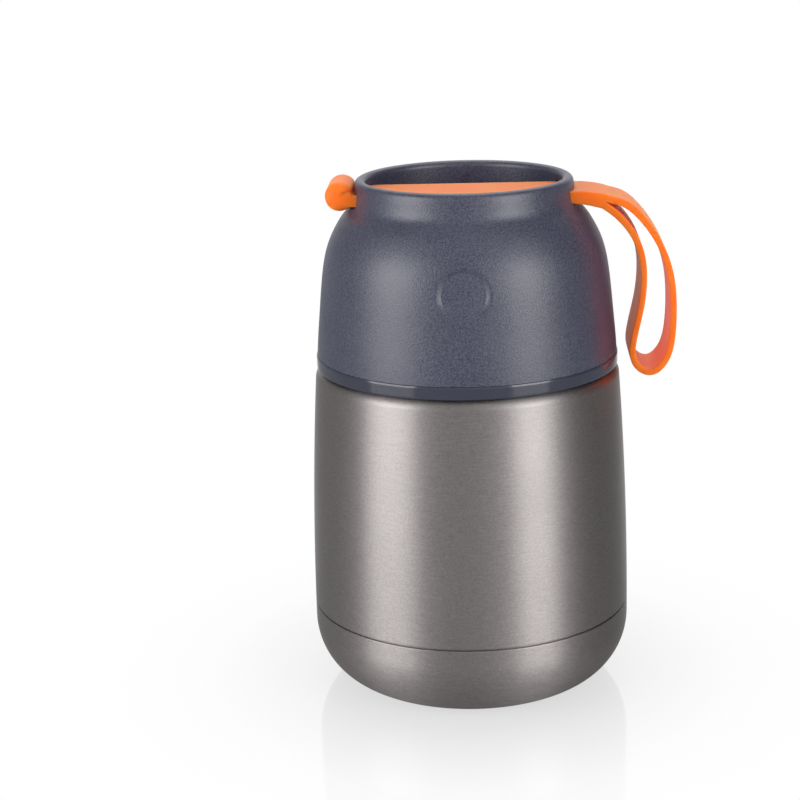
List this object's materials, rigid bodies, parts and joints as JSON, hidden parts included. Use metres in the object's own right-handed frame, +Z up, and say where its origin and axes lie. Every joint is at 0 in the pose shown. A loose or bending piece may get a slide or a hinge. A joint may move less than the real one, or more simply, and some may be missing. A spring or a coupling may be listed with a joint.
{
  "type": "insulated food jar",
  "caption": "Vacuum-insulated steel food jar with a screw-in stopper, a domed screw-on bowl lid and a silicone carry strap through the lid's rim.",
  "frame": {"origin": "where the jar's axis meets the surface that the jar stands on, at the middle of the base disc's lower face", "axes": "+Z up the jar's axis, +X towards the strap's loop, -Y towards the round dimple in the lid"},
  "size_m": [0.1157, 0.1012, 0.1626],
  "materials": {
    "brushed_steel": "satin, brushed around the axis",
    "inner_steel": "satin",
    "getter_metal": "matt",
    "seal_glass": "glossy",
    "spring_steel": "bright",
    "white_silicone": "satin",
    "orange_silicone": "satin",
    "stopper_plastic": "satin",
    "foam": "matt foam",
    "liner_plastic": "glossy",
    "lid_plastic": "fine-grained matt"
  },
  "bodies": {
    "jar": {"outer_shell": "brushed_steel", "base_cup": "brushed_steel", "base_disc": "brushed_steel", "vacuum_seal": "seal_glass", "inner_vessel": "inner_steel", "getter": "getter_metal"},
    "stopper_ring": {"stopper_gasket": "white_silicone"},
    "stopper": {"stopper_body": "stopper_plastic", "stopper_foam": "foam", "stopper_cap": "stopper_plastic", "vent_spring": "spring_steel"},
    "vent": {"vent_button": "orange_silicone", "vent_seal": "orange_silicone"},
    "lid_ring": {"lid_gasket": "white_silicone"},
    "lid": {"lid_liner": "liner_plastic", "lid_shell": "lid_plastic", "strap_band": "orange_silicone"},
    "strap": {"strap_loop": "orange_silicone"}
  },
  "joints": [
    {"name": "stopper_lift", "type": "slide", "parent": "jar", "child": "stopper_ring", "axis": [0, 0, 1], "range_m": [0, 0.045]},
    {"name": "stopper_turn", "type": "hinge", "parent": "stopper_ring", "child": "stopper", "pos_m": [0, 0, 0.117], "axis": [0, 0, 1], "range_deg": [0, 1800]},
    {"name": "vent_press", "type": "slide", "parent": "stopper", "child": "vent", "axis": [0, 0, -1], "range_m": [0, 0.0025], "stiffness_N_per_m": 400, "springref_m": -0.001, "deforming": ["vent_spring"]},
    {"name": "lid_lift", "type": "slide", "parent": "stopper", "child": "lid_ring", "axis": [0, 0, 1], "range_m": [0, 0.048]},
    {"name": "lid_turn", "type": "hinge", "parent": "lid_ring", "child": "lid", "pos_m": [0, 0, 0.1076], "axis": [0, 0, 1], "range_deg": [0, 1440]},
    {"name": "strap_swing", "type": "hinge", "parent": "lid", "child": "strap", "pos_m": [0.038, 0, 0.1567], "axis": [0, -1, 0], "range_deg": [-2, 100], "stiffness_Nm_per_rad": 0.05, "springref_deg": 1.2}
  ],
  "couplings": [
    {"joint": "stopper_lift", "follows": "stopper_turn", "m_per_rad": 0.0014323},
    {"joint": "lid_lift", "follows": "lid_turn", "m_per_rad": 0.0019098}
  ]
}
